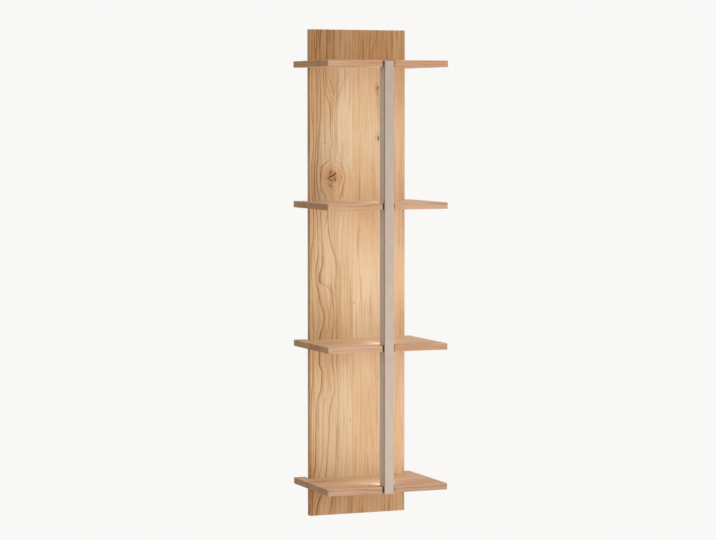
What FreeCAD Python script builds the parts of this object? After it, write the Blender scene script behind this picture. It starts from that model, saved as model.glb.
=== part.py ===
import FreeCAD, Part
import math
import os

# A wall-hung shelf: an upright oak panel, four oak shelves and a lit spine that ties their front edges.
# Millimetres. +X is right, +Z is up, the wall is the plane y = 0 and the shelf stands out towards -Y.
# The origin lies on the wall, midway between the two screws of the wall cleat.

# Shelves, from the top down
shelf_names = ("shelf_top", "shelf_upper", "shelf_lower", "shelf_bottom")
shelf_width = 400.0
shelf_depth = 300.0
shelf_thick = 20.0
shelf_pitch = 440.0
wood_round = 1.5
hang_drop = 100.0

# Back panel and the free space behind it
panel_width = 325.0
panel_thick = 22.0
panel_overhang = 100.0
panel_fit = 0.5
wall_gap = 25.0

# Spine: an H-shaped profile in the shelves' front notches, with a cover in front of it
notch_depth = 33.0
notch_gap = 5.0
spine_width = 30.0
spine_proud = 8.0
spine_step = 2.0
spine_wall = 2.5
web_thick = 3.0
rear_chamber = 14.0
cover_thick = 4.0
cover_leg = 2.0
cover_round = 0.8
shadow_line = 3.0
slide_fit = 0.2
cap_thick = 2.0
prong_length = 8.0
prong_clear = 1.0

# Light strips, their opal covers and the links past the middle shelves
bay_names = ("top", "middle", "bottom")
strip_width = 8.0
strip_thick = 1.2
strip_inset = 10.0
chip_size = 3.0
chip_height = 0.8
chip_pitch = 16.0
diffuser_depth = 8.0
diffuser_wall = 1.5
diffuser_end = 0.5
jumper_names = ("upper", "lower")
jumper_width = 6.0
jumper_tab = 5.0
jumper_clear = 0.5

# Low-voltage feed through the panel and the second shelf from the top
feed_shelf = 1
terminal_depth = 7.0
terminal_height = 8.0
lead_diameter = 3.0
lead_fit = 0.3
lead_grip = 4.0
lead_bend = 12.0
lead_off_panel = 13.0
grommet_lip = 13.0
grommet_lip_thick = 1.5
grommet_neck = 8.0
grommet_neck_length = 9.0

# Power supply on the panel's back
driver_length = 170.0
driver_width = 44.0
driver_height = 18.0
driver_wall = 1.6
driver_rise = 50.0
driver_round = 2.0
lid_thick = 1.6
lid_rib = 1.6
lid_lip = 2.0
ear_reach = 12.0
ear_height = 14.0
ear_thick = 3.0
ear_inset = 12.0
post_diameter = 5.0
post_height = 3.0
post_inset = 6.0
board_thick = 1.6
board_gap = 14.0
board_margin = 1.0
block_height = 9.0
block_gap = 3.0
terminal_block_share = 0.07
coil_share = 0.22
can_diameter = 9.0
inlet_width = 22.0
inlet_height = 10.0
inlet_depth = 18.0
inlet_flange = 2.0
inlet_flange_thick = 1.5
inlet_wall = 1.5
inlet_fit = 0.15
pin_diameter = 2.4
pin_spread = 8.6
pin_length = 9.0
gland_collar = 9.0
gland_collar_length = 7.0
gland_neck = 6.0

# Dowels, screws and bolts
hole_fit = 0.15
hole_room = 2.0
dowel_diameter = 8.0
dowel_in_panel = 12.0
dowel_in_shelf = 28.0
dowel_round = 0.8
dowel_spread = 240.0
shelf_screw_diameter = 5.0
shelf_screw_head = 10.0
shelf_screw_length = 60.0
shelf_screw_spread = 140.0
driver_screw_diameter = 3.5
driver_screw_head = 7.0
driver_screw_length = 16.0
recess_share = 0.42
recess_depth_share = 0.8
bolt_diameter = 5.0
bolt_head = 8.5
bolt_head_height = 5.0
bolt_socket = 4.0
bolt_socket_depth = 2.5
bolt_engage = 13.0
sleeve_diameter = 9.0
insert_diameter = 7.0
insert_length = 15.0

# Bevelled hanging cleats
cleat_fit = 1.0
cleat_length = 260.0
wall_cleat_below = 30.0
wall_cleat_above = 10.0
wall_screw_spread = 200.0
wall_screw_hole = 5.5
wall_screw_head = 11.0
hanging_cleat_height = 40.0
cleat_screw_diameter = 4.5
cleat_screw_head = 9.0
cleat_screw_in_panel = 14.0
cleat_screw_places_shares = (-0.4, -0.15, 0.15, 0.4)

# How far a cutting shape runs past what it cuts
overrun = 5.0

V = FreeCAD.Vector
UP = V(0, 0, 1)
REAR = V(0, 1, 0)
FRONT = V(0, -1, 0)

# Places along Y, from the wall to the front
panel_back = -wall_gap
panel_front = panel_back - panel_thick
shelf_front = -shelf_depth
notch_back = shelf_front + notch_depth
web_rear = notch_back - rear_chamber
web_front = web_rear - web_thick
spine_front = shelf_front - spine_proud
cover_back = spine_front + cover_thick
profile_front = cover_back + shadow_line
strip_rear = web_rear + strip_thick
terminal_rear = strip_rear + terminal_depth
lead_y = panel_back + lead_off_panel
driver_rear = panel_back + driver_height
cleat_rear = -cleat_fit

# Places along Z
shelf_lows = [hang_drop - shelf_pitch * number for number in range(len(shelf_names))]
shelf_highs = [low + shelf_thick for low in shelf_lows]
shelf_middles = [low + shelf_thick / 2 for low in shelf_lows]
panel_high = shelf_highs[0] + panel_overhang
panel_low = shelf_lows[-1] - panel_overhang
spine_high = shelf_highs[0] - spine_step
spine_low = shelf_lows[-1] - spine_step
feed_z = shelf_middles[feed_shelf]
driver_low = shelf_highs[feed_shelf] + driver_rise
driver_high = driver_low + driver_length
board_low = driver_low + driver_wall + board_gap
board_high = driver_high - inlet_depth - board_margin
hanging_cleat_low = wall_cleat_above + wall_gap
hanging_cleat_high = hanging_cleat_low + hanging_cleat_height
cleat_screw_z = hanging_cleat_low + hanging_cleat_height / 2

# Half widths of the spine and places along X beside its bolts
spine_half = spine_width / 2
chamber_half = spine_half - spine_wall
leg_outer = chamber_half - slide_fit
leg_inner = leg_outer - cover_leg
jumper_near = sleeve_diameter / 2 + jumper_clear
jumper_far = jumper_near + jumper_width
feed_x = (jumper_near + jumper_far) / 2
lead_bore = lead_diameter + 2 * lead_fit
dowel_xs = (-dowel_spread / 2, dowel_spread / 2)
shelf_screw_xs = (-shelf_screw_spread / 2, shelf_screw_spread / 2)
wall_screw_xs = (-wall_screw_spread / 2, wall_screw_spread / 2)
cleat_screw_xs = [cleat_length * share for share in cleat_screw_places_shares]
cleat_screw_length = wall_gap - cleat_fit + cleat_screw_in_panel
bolt_length = web_thick + rear_chamber + bolt_engage
ear_x = driver_width / 2 + ear_reach / 2
ear_zs = (driver_low + ear_inset, driver_high - ear_inset)
ear_places = [(feed_x + side * ear_x, z) for side in (-1, 1) for z in ear_zs]
bays = list(zip(shelf_highs[1:], shelf_lows[:-1]))


def block(xs, ys, zs):
    """Box between two places along each axis."""
    low = V(min(xs), min(ys), min(zs))
    size = V(max(xs), max(ys), max(zs)) - low
    return Part.makeBox(size.x, size.y, size.z, low)


def rod(diameter, start, direction, length):
    """Round bar from a start point."""
    return Part.makeCylinder(diameter / 2, length, start, direction)


def tube(outer, inner, start, direction, length):
    """Round bar with a bore right through it."""
    bore = rod(inner, start - direction * overrun, direction, length + 2 * overrun)
    return rod(outer, start, direction, length).cut(bore)


def hexagon_bar(across, start, direction, length):
    """Six-sided bar for a drive socket, lying along Y."""
    radius = across / math.sqrt(3)
    turns = [math.pi / 3 * corner for corner in range(7)]
    corners = [start + V(radius * math.cos(turn), 0, radius * math.sin(turn)) for turn in turns]
    return Part.Face(Part.makePolygon(corners)).extrude(direction * length)


def prism(outline, length):
    """Section of (y, z) corners, drawn along X and centred on x = 0."""
    corners = [V(-length / 2, y, z) for y, z in outline + outline[:1]]
    return Part.Face(Part.makePolygon(corners)).extrude(V(length, 0, 0))


def eased_board(xs, ys, zs):
    """Solid board with all its outer edges eased."""
    board = block(xs, ys, zs)
    return board.makeFillet(wood_round, board.Edges)


def edges_along(shape, direction):
    """Straight edges of a box that run along a direction, from the front to the rear."""
    edges = [edge for edge in shape.Edges
             if abs(edge.tangentAt(edge.FirstParameter).dot(direction)) > math.cos(math.pi / 4)]
    return sorted(edges, key=lambda edge: edge.CenterOfMass.y)


def countersunk_screw(place, diameter, head, length):
    """Wood screw driven forwards; place is the middle of its flat head."""
    sink = (head - diameter) / 2
    tip = diameter
    body = Part.makeCone(head / 2, diameter / 2, sink, place, FRONT)
    shank = rod(diameter, place + FRONT * sink, FRONT, length - sink - tip)
    point = Part.makeCone(diameter / 2, 0, tip, place + FRONT * (length - tip), FRONT)
    socket = hexagon_bar(head * recess_share, place, FRONT, sink * recess_depth_share)
    return body.fuse([shank, point]).removeSplitter().cut(socket)


def screw_hole(place, diameter, head, length):
    """Room for a countersunk screw, open at its head."""
    wide = head / 2 + hole_fit
    narrow = diameter / 2 + hole_fit
    sink = Part.makeCone(wide, narrow, wide - narrow, place, FRONT)
    mouth = rod(2 * wide, place, REAR, overrun)
    bore = rod(2 * narrow, place, FRONT, length + hole_room)
    return sink.fuse([mouth, bore])


def shelf(number):
    """One shelf, with its rear cut-out, front notch and holes."""
    low, high, middle = shelf_lows[number], shelf_highs[number], shelf_middles[number]
    board = eased_board((-shelf_width / 2, shelf_width / 2), (shelf_front, 0), (low, high))
    through = (low - overrun, high + overrun)
    seat_half = panel_width / 2 + panel_fit
    notch_half = spine_half + notch_gap
    cuts = [block((-seat_half, seat_half), (panel_front, overrun), through),
            block((-notch_half, notch_half), (shelf_front - overrun, notch_back), through),
            rod(insert_diameter + 2 * hole_fit, V(0, notch_back, middle), REAR, insert_length + hole_room)]
    for x in dowel_xs:
        hole = dowel_diameter + 2 * hole_fit
        cuts.append(rod(hole, V(x, panel_front, middle), FRONT, dowel_in_shelf + hole_room))
    for x in shelf_screw_xs:
        hole = shelf_screw_diameter + 2 * hole_fit
        depth = shelf_screw_length - panel_thick + hole_room
        cuts.append(rod(hole, V(x, panel_front, middle), FRONT, depth))
    if number == feed_shelf:
        cuts.append(rod(lead_bore, V(feed_x, panel_front, middle), FRONT, panel_front - notch_back))
    return board.cut(cuts)


def back_panel():
    """Upright board that carries the shelves, drilled for all that is fixed to it."""
    half = panel_width / 2
    board = eased_board((-half, half), (panel_front, panel_back), (panel_low, panel_high))
    cuts = []
    for middle in shelf_middles:
        for x in shelf_screw_xs:
            place = V(x, panel_back, middle)
            cuts.append(screw_hole(place, shelf_screw_diameter, shelf_screw_head, shelf_screw_length))
        for x in dowel_xs:
            hole = dowel_diameter + 2 * hole_fit
            cuts.append(rod(hole, V(x, panel_front, middle), REAR, dowel_in_panel + hole_room))
    for x in cleat_screw_xs:
        hole = cleat_screw_diameter + 2 * hole_fit
        place = V(x, panel_back, cleat_screw_z)
        cuts.append(rod(hole, place, FRONT, cleat_screw_in_panel + hole_room))
    for x, z in ear_places:
        hole = driver_screw_diameter + 2 * hole_fit
        depth = driver_screw_length - ear_thick + hole_room
        cuts.append(rod(hole, V(x, panel_back, z), FRONT, depth))
    feed = V(feed_x, panel_back, feed_z)
    cuts.append(rod(lead_bore, feed, FRONT, panel_thick + overrun))
    cuts.append(rod(grommet_neck + 2 * hole_fit, feed, FRONT, grommet_neck_length + hole_room))
    return board.cut(cuts)


def shelf_dowels():
    """Two glued dowels in each shelf's rear face."""
    dowels = []
    for middle in shelf_middles:
        for x in dowel_xs:
            start = V(x, panel_front + dowel_in_panel, middle)
            pin = rod(dowel_diameter, start, FRONT, dowel_in_panel + dowel_in_shelf)
            ends = [edge for edge in pin.Edges if isinstance(edge.Curve, Part.Circle)]
            dowels.append(pin.makeChamfer(dowel_round, ends))
    return Part.makeCompound(dowels)


def shelf_screws():
    """Two screws into each shelf, from behind the panel."""
    places = [V(x, panel_back, middle) for middle in shelf_middles for x in shelf_screw_xs]
    return Part.makeCompound([
        countersunk_screw(place, shelf_screw_diameter, shelf_screw_head, shelf_screw_length)
        for place in places])


def spine_profile():
    """Body of the spine: an H section, open to the front for the cover and to the rear for the light."""
    span = (spine_low + cap_thick, spine_high - cap_thick)
    through = (spine_low, spine_high)
    body = block((-spine_half, spine_half), (profile_front, notch_back), span)
    cuts = [block((-chamber_half, chamber_half), (profile_front - overrun, web_front), through),
            block((-chamber_half, chamber_half), (web_rear, notch_back + overrun), through)]
    for middle in shelf_middles:
        cuts.append(rod(bolt_diameter + 2 * hole_fit, V(0, web_front, middle), REAR, web_thick + overrun))
    return body.cut(cuts)


def spine_cover():
    """Front face of the spine, on two legs that slide into the profile and stop at its web."""
    span = (spine_low + cap_thick, spine_high - cap_thick)
    face = block((-spine_half, spine_half), (spine_front, cover_back), span)
    face = face.makeFillet(cover_round, edges_along(face, UP)[:2])
    legs = [block((side * leg_inner, side * leg_outer), (cover_back, web_front), span) for side in (-1, 1)]
    return face.fuse(legs).removeSplitter()


def spine_cap(end, inward):
    """End of the spine: a plate with two prongs that stand in the profile, clear of the end bolt."""
    plate = block((-spine_half, spine_half), (spine_front, notch_back), (end, end + inward * cap_thick))
    plate = plate.makeFillet(cover_round, edges_along(plate, UP)[:2])
    near = bolt_head / 2 + prong_clear
    far = leg_inner - slide_fit
    start = end + inward * cap_thick
    prongs = [block((side * near, side * far), (cover_back + slide_fit, web_front - slide_fit),
                    (start, start + inward * prong_length)) for side in (-1, 1)]
    return plate.fuse(prongs).removeSplitter()


def spine_sleeves():
    """Spacers between the profile's web and each shelf."""
    bore = bolt_diameter + 2 * hole_fit
    return Part.makeCompound([tube(sleeve_diameter, bore, V(0, web_rear, middle), REAR, rear_chamber)
                              for middle in shelf_middles])


def spine_bolts():
    """One socket-head bolt into each shelf."""
    bolts = []
    for middle in shelf_middles:
        seat = V(0, web_front, middle)
        head = rod(bolt_head, seat, FRONT, bolt_head_height)
        shank = rod(bolt_diameter, seat, REAR, bolt_length)
        socket = hexagon_bar(bolt_socket, seat + FRONT * bolt_head_height, REAR, bolt_socket_depth)
        bolts.append(head.fuse(shank).cut(socket))
    return Part.makeCompound(bolts)


def threaded_inserts():
    """Threaded inserts in the notches' rear walls."""
    bore = bolt_diameter + 2 * hole_fit
    return Part.makeCompound([tube(insert_diameter, bore, V(0, notch_back, middle), REAR, insert_length)
                              for middle in shelf_middles])


def led_strip(low, high):
    """Light strip on the rear of the web, with its row of chips."""
    start, end = low + strip_inset, high - strip_inset
    strip = block((-strip_width / 2, strip_width / 2), (web_rear, strip_rear), (start, end))
    count = int((end - start) // chip_pitch)
    step = (end - start) / count
    chips = []
    for number in range(count):
        z = start + step * number + step / 2
        chips.append(block((-chip_size / 2, chip_size / 2), (strip_rear, strip_rear + chip_height),
                           (z - chip_size / 2, z + chip_size / 2)))
    return strip.fuse(chips)


def led_diffuser(low, high):
    """Opal channel over one light strip, slid into the profile and flush with its rear."""
    front = notch_back - diffuser_depth
    channel = block((-leg_outer, leg_outer), (front, notch_back), (low + diffuser_end, high - diffuser_end))
    inner = leg_outer - diffuser_wall
    hollow = block((-inner, inner), (front - overrun, notch_back - diffuser_wall), (low, high))
    return channel.cut(hollow)


def led_jumper(number):
    """Link between two light strips that goes round the sleeve of a middle shelf."""
    low, high = shelf_lows[number] - strip_inset, shelf_highs[number] + strip_inset
    layer = (web_rear, strip_rear)
    bar = block((jumper_near, jumper_far), layer, (low, high))
    tabs = [block((-strip_width / 2, jumper_far), layer, span)
            for span in ((low, low + jumper_tab), (high - jumper_tab, high))]
    return bar.fuse(tabs).removeSplitter()


def feed_terminal():
    """Push-in terminal on the upper link, with its mouth towards the panel."""
    spread = (feed_z - terminal_height / 2, feed_z + terminal_height / 2)
    body = block((jumper_near, jumper_far), (strip_rear, terminal_rear), spread)
    return body.cut(rod(lead_bore, V(feed_x, terminal_rear, feed_z), FRONT, lead_grip))


def feed_lead():
    """Two-core lead: down from the power supply, round one bend and forwards into the spine."""
    start = V(feed_x, lead_y, board_low)
    bend_start = V(feed_x, lead_y, feed_z + lead_bend)
    bend_end = V(feed_x, lead_y - lead_bend, feed_z)
    centre = bend_start + FRONT * lead_bend
    bend_middle = centre + (REAR - UP) * (lead_bend * math.cos(math.pi / 4))
    end = V(feed_x, terminal_rear - lead_grip, feed_z)
    path = Part.Wire([Part.LineSegment(start, bend_start).toShape(),
                      Part.Arc(bend_start, bend_middle, bend_end).toShape(),
                      Part.LineSegment(bend_end, end).toShape()])
    ring = Part.Wire(Part.Circle(start, UP, lead_diameter / 2).toShape())
    return path.makePipeShell([ring], True, False)


def lead_grommet():
    """Soft bush where the lead enters the panel."""
    feed = V(feed_x, panel_back, feed_z)
    lip = rod(grommet_lip, feed, REAR, grommet_lip_thick)
    neck = rod(grommet_neck, feed, FRONT, grommet_neck_length)
    bore = rod(lead_bore, feed + REAR * overrun, FRONT, grommet_neck_length + 2 * overrun)
    return lip.fuse(neck).cut(bore)


def driver_case():
    """Tray of the power supply: flat on the panel, open towards the wall, with four fixing ears."""
    half = driver_width / 2
    tray = block((feed_x - half, feed_x + half), (panel_back, driver_rear), (driver_low, driver_high))
    tray = tray.makeFillet(driver_round, edges_along(tray, REAR))
    inner = half - driver_wall
    floor = panel_back + driver_wall
    hollow = block((feed_x - inner, feed_x + inner), (floor, driver_rear + overrun),
                   (driver_low + driver_wall, driver_high - driver_wall))
    inlet_half = inlet_width / 2 + inlet_fit
    inlet_y = (floor + driver_rear) / 2
    inlet_deep = inlet_height / 2 + inlet_fit
    doorway = block((feed_x - inlet_half, feed_x + inlet_half),
                    (inlet_y - inlet_deep, inlet_y + inlet_deep),
                    (driver_high - overrun, driver_high + overrun))
    outlet = rod(gland_neck + 2 * hole_fit, V(feed_x, lead_y, driver_low - overrun), UP, 2 * overrun)
    posts = [rod(post_diameter, V(feed_x + side * (inner - post_inset), floor, z), REAR, post_height)
             for side in (-1, 1) for z in (board_low + post_inset, board_high - post_inset)]
    ear_half = half + ear_reach
    ears = [block((feed_x - ear_half, feed_x + ear_half), (panel_back, panel_back + ear_thick),
                  (z - ear_height / 2, z + ear_height / 2)) for z in ear_zs]
    holes = [screw_hole(V(x, panel_back + ear_thick, z), driver_screw_diameter, driver_screw_head,
                        driver_screw_length) for x, z in ear_places]
    return tray.fuse(ears).cut([hollow, doorway, outlet]).fuse(posts).cut(holes).removeSplitter()


def driver_lid():
    """Cover of the power supply, with a rib inside each long side of the tray."""
    half = driver_width / 2
    plate = block((feed_x - half, feed_x + half), (driver_rear, driver_rear + lid_thick),
                  (driver_low, driver_high))
    plate = plate.makeFillet(driver_round, edges_along(plate, REAR))
    rib_outer = half - driver_wall - slide_fit
    rib_inner = rib_outer - lid_rib
    ribs = [block((feed_x + side * rib_inner, feed_x + side * rib_outer),
                  (driver_rear - lid_lip, driver_rear), (board_low, board_high)) for side in (-1, 1)]
    return plate.fuse(ribs).removeSplitter()


def driver_board():
    """Circuit board of the power supply with its main parts."""
    half = driver_width / 2 - driver_wall - board_margin
    back = panel_back + driver_wall + post_height
    face = back + board_thick
    top = face + block_height
    length = board_high - board_low
    board = block((feed_x - half, feed_x + half), (back, face), (board_low, board_high))
    inner = half - block_gap
    outlet_high = board_low + length * terminal_block_share
    coil_low = outlet_high + length * coil_share
    coil_high = coil_low + length * coil_share
    parts = [block((feed_x - inner / 2, feed_x + inner / 2), (face, top), (board_low, outlet_high)),
             block((feed_x - inner, feed_x + inner), (face, top), (coil_low, coil_high))]
    can_z = (outlet_high + coil_low) / 2
    for side in (-1, 1):
        parts.append(rod(can_diameter, V(feed_x + side * inner / 2, face, can_z), REAR, block_height))
    return board.fuse(parts)


def mains_inlet():
    """Two-pin mains socket in the upper end of the power supply."""
    half, deep = inlet_width / 2, inlet_height / 2
    y = (panel_back + driver_wall + driver_rear) / 2
    floor = driver_high - inlet_depth
    body = block((feed_x - half, feed_x + half), (y - deep, y + deep), (floor, driver_high))
    flange_half, flange_deep = half + inlet_flange, deep + inlet_flange
    flange = block((feed_x - flange_half, feed_x + flange_half), (y - flange_deep, y + flange_deep),
                   (driver_high, driver_high + inlet_flange_thick))
    hollow_half, hollow_deep = half - inlet_wall, deep - inlet_wall
    hollow = block((feed_x - hollow_half, feed_x + hollow_half), (y - hollow_deep, y + hollow_deep),
                   (floor + inlet_wall, driver_high + overrun))
    pins = [rod(pin_diameter, V(feed_x + side * pin_spread / 2, y, floor + inlet_wall), UP, pin_length)
            for side in (-1, 1)]
    return body.fuse(flange).cut(hollow).fuse(pins)


def lead_gland():
    """Gland where the lead leaves the power supply."""
    place = V(feed_x, lead_y, driver_low)
    collar = rod(gland_collar, place, -UP, gland_collar_length)
    neck = rod(gland_neck, place, UP, driver_wall)
    bore = rod(lead_bore, place + UP * overrun, -UP, gland_collar_length + 2 * overrun)
    return collar.fuse(neck).cut(bore)


def driver_screws():
    """Four small screws through the ears of the power supply."""
    return Part.makeCompound([
        countersunk_screw(V(x, panel_back + ear_thick, z), driver_screw_diameter, driver_screw_head,
                          driver_screw_length) for x, z in ear_places])


def wall_cleat():
    """Cleat on the wall: its bevel rises away from the wall, so that the shelf hooks in behind it."""
    front = cleat_fit - wall_gap
    outline = [(0, -wall_cleat_below), (front, -wall_cleat_below),
               (front, wall_cleat_above - front), (0, wall_cleat_above)]
    holes = [screw_hole(V(x, 0, 0), wall_screw_hole - 2 * hole_fit, wall_screw_head, wall_gap)
             .mirror(V(0, front / 2, 0), REAR) for x in wall_screw_xs]
    return prism(outline, cleat_length).cut(holes)


def hanging_cleat():
    """Cleat on the panel's back: its bevel rests on the wall cleat's."""
    outline = [(panel_back, hanging_cleat_low), (cleat_rear, hanging_cleat_low - wall_gap + cleat_fit),
               (cleat_rear, hanging_cleat_high), (panel_back, hanging_cleat_high)]
    holes = [screw_hole(V(x, cleat_rear, cleat_screw_z), cleat_screw_diameter, cleat_screw_head,
                        cleat_screw_length) for x in cleat_screw_xs]
    return prism(outline, cleat_length).cut(holes)


def cleat_screws():
    """Screws through the hanging cleat into the panel."""
    return Part.makeCompound([
        countersunk_screw(V(x, cleat_rear, cleat_screw_z), cleat_screw_diameter, cleat_screw_head,
                          cleat_screw_length) for x in cleat_screw_xs])


def all_nodes():
    """Every node of the shelf by its name."""
    nodes = {name: shelf(number) for number, name in enumerate(shelf_names)}
    for name, (low, high) in zip(bay_names, bays):
        nodes["led_strip_" + name] = led_strip(low, high)
        nodes["led_diffuser_" + name] = led_diffuser(low, high)
    for number, name in enumerate(jumper_names, start=1):
        nodes["led_jumper_" + name] = led_jumper(number)
    nodes["spine_cap_top"] = spine_cap(spine_high, -1)
    nodes["spine_cap_bottom"] = spine_cap(spine_low, 1)
    for make in (back_panel, shelf_dowels, shelf_screws, spine_profile, spine_cover, spine_sleeves,
                 spine_bolts, threaded_inserts, feed_terminal, feed_lead, lead_grommet, driver_case,
                 driver_lid, driver_board, mains_inlet, lead_gland, driver_screws, wall_cleat,
                 hanging_cleat, cleat_screws):
        nodes[make.__name__] = make()
    return nodes


os.makedirs("parts", exist_ok=True)
for name, shape in all_nodes().items():
    shape.exportStep("parts/" + name + ".step")
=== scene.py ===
import math

import bpy
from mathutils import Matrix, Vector


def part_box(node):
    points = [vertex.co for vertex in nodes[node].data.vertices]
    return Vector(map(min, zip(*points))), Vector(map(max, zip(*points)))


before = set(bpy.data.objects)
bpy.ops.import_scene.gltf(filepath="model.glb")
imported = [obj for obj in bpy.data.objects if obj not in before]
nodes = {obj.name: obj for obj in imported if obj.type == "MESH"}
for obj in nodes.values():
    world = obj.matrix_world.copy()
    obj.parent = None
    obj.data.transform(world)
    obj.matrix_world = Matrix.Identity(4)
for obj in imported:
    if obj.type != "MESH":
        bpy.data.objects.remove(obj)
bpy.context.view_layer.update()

# The wall-hung oak shelf: materials for every piece, a pale studio and the photograph's camera.
# Metres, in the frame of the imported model: +X right, +Y into the wall, +Z up.

scene = bpy.context.scene
scene.view_settings.view_transform = "Standard"

# Metres in a millimetre, and the share of a rubbed edge that is rubbed in full
MM = 0.001
EDGE_CORE = 0.3


def srgb(red, green, blue):
    """Linear colour from the 0 to 255 values that it shows as."""
    shares = [value / 255 for value in (red, green, blue)]
    linear = [s / 12.92 if s <= 0.04045 else ((s + 0.055) / 1.055) ** 2.4 for s in shares]
    return (*linear, 1.0)


class Value:
    """A shader socket that takes part in sums like a number."""

    def __init__(self, graph, socket):
        self.graph = graph
        self.socket = socket

    def __add__(self, other):
        return self.graph.math("ADD", self, other)

    def __radd__(self, other):
        return self.graph.math("ADD", other, self)

    def __sub__(self, other):
        return self.graph.math("SUBTRACT", self, other)

    def __rsub__(self, other):
        return self.graph.math("SUBTRACT", other, self)

    def __mul__(self, other):
        return self.graph.math("MULTIPLY", self, other)

    def __rmul__(self, other):
        return self.graph.math("MULTIPLY", other, self)

    def __truediv__(self, other):
        return self.graph.math("DIVIDE", self, other)

    def __rtruediv__(self, other):
        return self.graph.math("DIVIDE", other, self)

    def __pow__(self, power):
        return self.graph.math("POWER", self, power)

    def __abs__(self):
        return self.graph.math("ABSOLUTE", self)


class Graph:
    """Node tree of one material, ending in a Principled shader."""

    def __init__(self, name):
        self.material = bpy.data.materials.new(name)
        self.material.use_nodes = True
        self.tree = self.material.node_tree
        self.shader = self.tree.nodes["Principled BSDF"]
        place = self.tree.nodes.new("ShaderNodeTexCoord")
        self.x, self.y, self.z = self.split(place.outputs["Object"])
        self.facing = self.split(place.outputs["Normal"])

    def put(self, socket, value):
        """Feeds a value, a socket or a constant into an input."""
        if isinstance(value, Value):
            value = value.socket
        if isinstance(value, bpy.types.NodeSocket):
            self.tree.links.new(value, socket)
        else:
            socket.default_value = value

    def add(self, kind, inputs, output=0, **settings):
        """New node; inputs by name or number."""
        node = self.tree.nodes.new(kind)
        for name, value in settings.items():
            setattr(node, name, value)
        for name, value in inputs.items():
            self.put(node.inputs[name], value)
        return Value(self, node.outputs[output])

    def split(self, socket):
        """The three parts of a vector."""
        node = self.tree.nodes.new("ShaderNodeSeparateXYZ")
        self.put(node.inputs[0], socket)
        return [Value(self, out) for out in node.outputs]

    def math(self, operation, first, second=0.0):
        """One step of a sum."""
        return self.add("ShaderNodeMath", {0: first, 1: second}, operation=operation)

    def vector(self, x, y, z):
        """Vector or colour from its three parts."""
        return self.add("ShaderNodeCombineXYZ", {0: x, 1: y, 2: z})

    def noise(self, x, y, z, scale, detail=2.0, rough=0.5):
        """Smooth noise about 0.5 at a place."""
        place = self.vector(x, y, z)
        inputs = {"Vector": place, "Scale": scale, "Detail": detail, "Roughness": rough}
        return self.add("ShaderNodeTexNoise", inputs)

    def chance(self, number):
        """One random value from 0 to 1 for each whole number."""
        return self.add("ShaderNodeTexWhiteNoise", {"W": number}, noise_dimensions="1D")

    def cell_walls(self, x, y, z, scale):
        """Distance from the nearest wall between random cells."""
        place = self.vector(x, y, z)
        inputs = {"Vector": place, "Scale": scale}
        return self.add("ShaderNodeTexVoronoi", inputs, feature="DISTANCE_TO_EDGE")

    def rise(self, value, low, high):
        """0 below low, 1 above high, smooth between."""
        inputs = {"Value": value, "From Min": low, "From Max": high}
        return self.add("ShaderNodeMapRange", inputs, interpolation_type="SMOOTHSTEP")

    def path(self, value, points):
        """Smooth curve through (value, result) points."""
        ins, outs = zip(*points)
        low_in, low_out = min(ins), min(outs)
        span_in, span_out = max(ins) - low_in, max(outs) - low_out
        node = self.tree.nodes.new("ShaderNodeFloatCurve")
        places = sorted(((a - low_in) / span_in, (b - low_out) / span_out) for a, b in points)
        stops = node.mapping.curves[0].points
        stops[0].location, stops[1].location = places[0], places[-1]
        for place in places[1:-1]:
            stops.new(*place)
        node.mapping.update()
        self.put(node.inputs["Value"], (value - low_in) / span_in)
        return Value(self, node.outputs[0]) * span_out + low_out

    def stroke(self, along, across, points):
        """Distance from the line through (along, across) points in millimetres."""
        nearest = None
        places = [(MM * a, MM * b) for a, b in points]
        for (a, b), (to_a, to_b) in zip(places, places[1:]):
            run, turn = to_a - a, to_b - b
            size = run * run + turn * turn
            share = (along - a) * (run / size) + (across - b) * (turn / size)
            share = self.math("MINIMUM", self.math("MAXIMUM", share, 0.0), 1.0)
            gap = ((along - (share * run + a)) ** 2.0 + (across - (share * turn + b)) ** 2.0) ** 0.5
            nearest = gap if nearest is None else self.math("MINIMUM", nearest, gap)
        return nearest

    def mix(self, share, first, second, blend="MIX"):
        """Blend of two colours."""
        inputs = {0: share, 6: first, 7: second}
        return self.add("ShaderNodeMix", inputs, 2, data_type="RGBA", blend_type=blend)

    def edge(self, box, width):
        """1 along the edges of a box-shaped piece, 0 on its faces."""
        gaps = []
        for place, low, high in zip((self.x, self.y, self.z), *box):
            gaps.append((high - low) / 2 - abs(place - (low + high) / 2))
        first, second, third = gaps
        near = self.math("MINIMUM", first, second)
        far = self.math("MAXIMUM", first, second)
        middle = self.math("MAXIMUM", near, self.math("MINIMUM", far, third))
        return 1 - self.rise(middle, width * EDGE_CORE, width)

    def bump(self, height, distance, strength):
        """Normal of a surface with a relief."""
        inputs = {"Height": height, "Distance": distance, "Strength": strength}
        return self.add("ShaderNodeBump", inputs)

    def finish(self, **inputs):
        """Sets the shader's inputs; an underscore in a name stands for a space."""
        for name, value in inputs.items():
            self.put(self.shader.inputs[name.replace("_", " ")], value)
        return self.material


def dress(node, material):
    """Gives a CAD node its material."""
    mesh = nodes[node].data
    if not mesh.materials:
        mesh.materials.append(material)
    for number in range(len(mesh.materials)):
        mesh.materials[number] = material


# Oak. A solid wood of growth rings about a pith line, so that faces, edges and ends belong together.

OAK_PALE = srgb(231, 197, 156)
OAK_WARM = srgb(217, 172, 124)
OAK_LINE = srgb(148, 84, 12)
OAK_PORE = srgb(152, 93, 24)
OAK_FLECK = srgb(236, 208, 172)
KNOT_WOOD = srgb(132, 72, 18)
KNOT_CRACK = srgb(66, 26, 2)

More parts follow.
